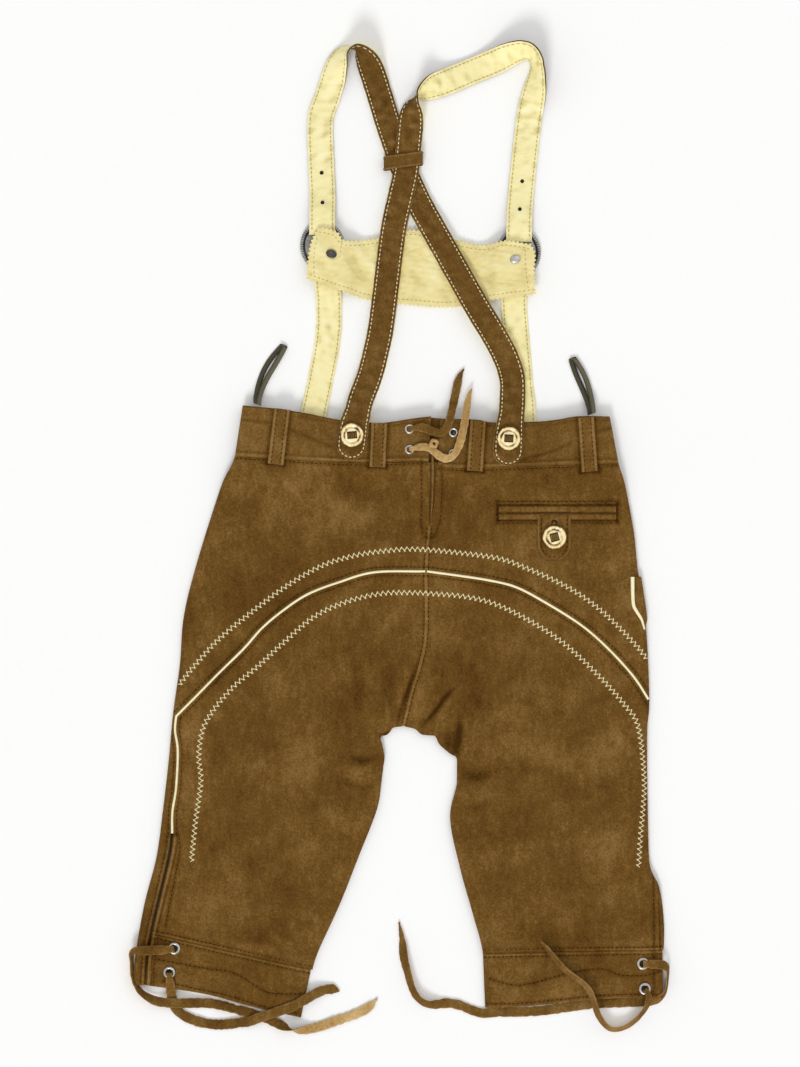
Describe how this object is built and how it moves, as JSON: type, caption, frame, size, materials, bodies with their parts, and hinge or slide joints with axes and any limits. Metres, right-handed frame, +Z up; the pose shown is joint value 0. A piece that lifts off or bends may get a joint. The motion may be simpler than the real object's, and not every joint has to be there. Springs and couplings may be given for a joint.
{
  "type": "lederhosen",
  "caption": "Knee-length brown suede lederhosen laid flat, back up, with crossed straps, a cream bib joining them, belt loops, laced hems and horn buttons.",
  "frame": {"origin": "middle of the garment's box, without its laces, on the surface that it lies on", "axes": "+Y from the hems to the waist and the straps, +X to the right as the back is looked at, +Z up out of the back"},
  "size_m": [0.492, 0.8912, 0.0231],
  "materials": {
    "suede": "napped brown suede",
    "waistband_suede": "napped brown suede, a little lighter",
    "cuff_suede": "napped brown suede",
    "strap_suede": "brown suede with cream stitches along both edges",
    "cream_leather": "smooth matt cream leather",
    "bib_leather": "smooth matt cream leather with pinked edges",
    "piping_leather": "cream leather, matt",
    "lace_suede": "brown suede on one side and tan on the other",
    "horn": "polished light horn with a darker rim",
    "silver": "worn nickel silver",
    "dark_metal": "darkened metal",
    "antique_silver": "antique silver, dark in its grooves",
    "tape": "woven grey-green tape"
  },
  "bodies": {
    "root": {"back_gusset": "suede", "back_leg_left": "suede", "back_leg_right": "suede", "back_yoke_left": "suede", "back_yoke_right": "suede", "belt_loop_1": "waistband_suede", "belt_loop_2": "waistband_suede", "belt_loop_3": "waistband_suede", "belt_loop_4": "waistband_suede", "bib_face": "bib_leather", "bib_lining": "bib_leather", "buckle_left": "antique_silver", "buckle_right": "antique_silver", "cuff_left": "cuff_suede", "cuff_right": "cuff_suede", "flap": "suede", "flap_button_left": "horn", "flap_button_right": "horn", "front_left": "suede", "front_right": "suede", "front_strap_button_left": "horn", "front_strap_button_right": "horn", "hanger_loop_left": "tape", "hanger_loop_right": "tape", "hem_eyelet_1": "silver", "hem_eyelet_2": "silver", "hem_eyelet_3": "silver", "hem_eyelet_4": "silver", "knife_pocket": "suede", "knife_pocket_binding": "piping_leather", "lace_hem_left_a": "lace_suede", "lace_hem_left_b": "lace_suede", "lace_hem_right_a": "lace_suede", "lace_hem_right_b": "lace_suede", "lace_waist_brown": "lace_suede", "lace_waist_tan": "lace_suede", "piping_left": "piping_leather", "piping_right": "piping_leather", "pocket_button": "horn", "pocket_tab": "suede", "pocket_welt_lower": "suede", "pocket_welt_upper": "suede", "rivet_left": "dark_metal", "rivet_right": "silver", "strap_a_lining": "cream_leather", "strap_a_outer": "strap_suede", "strap_b_lining": "cream_leather", "strap_b_outer": "strap_suede", "strap_button_left": "horn", "strap_button_right": "horn", "strap_front_left": "cream_leather", "strap_front_right": "cream_leather", "strap_keeper": "strap_suede", "waist_eyelet_1": "silver", "waist_eyelet_2": "silver", "waist_eyelet_3": "silver", "waist_eyelet_4": "silver", "waistband_back_left": "waistband_suede", "waistband_back_right": "waistband_suede", "waistband_front": "waistband_suede"}
  },
  "joints": []
}
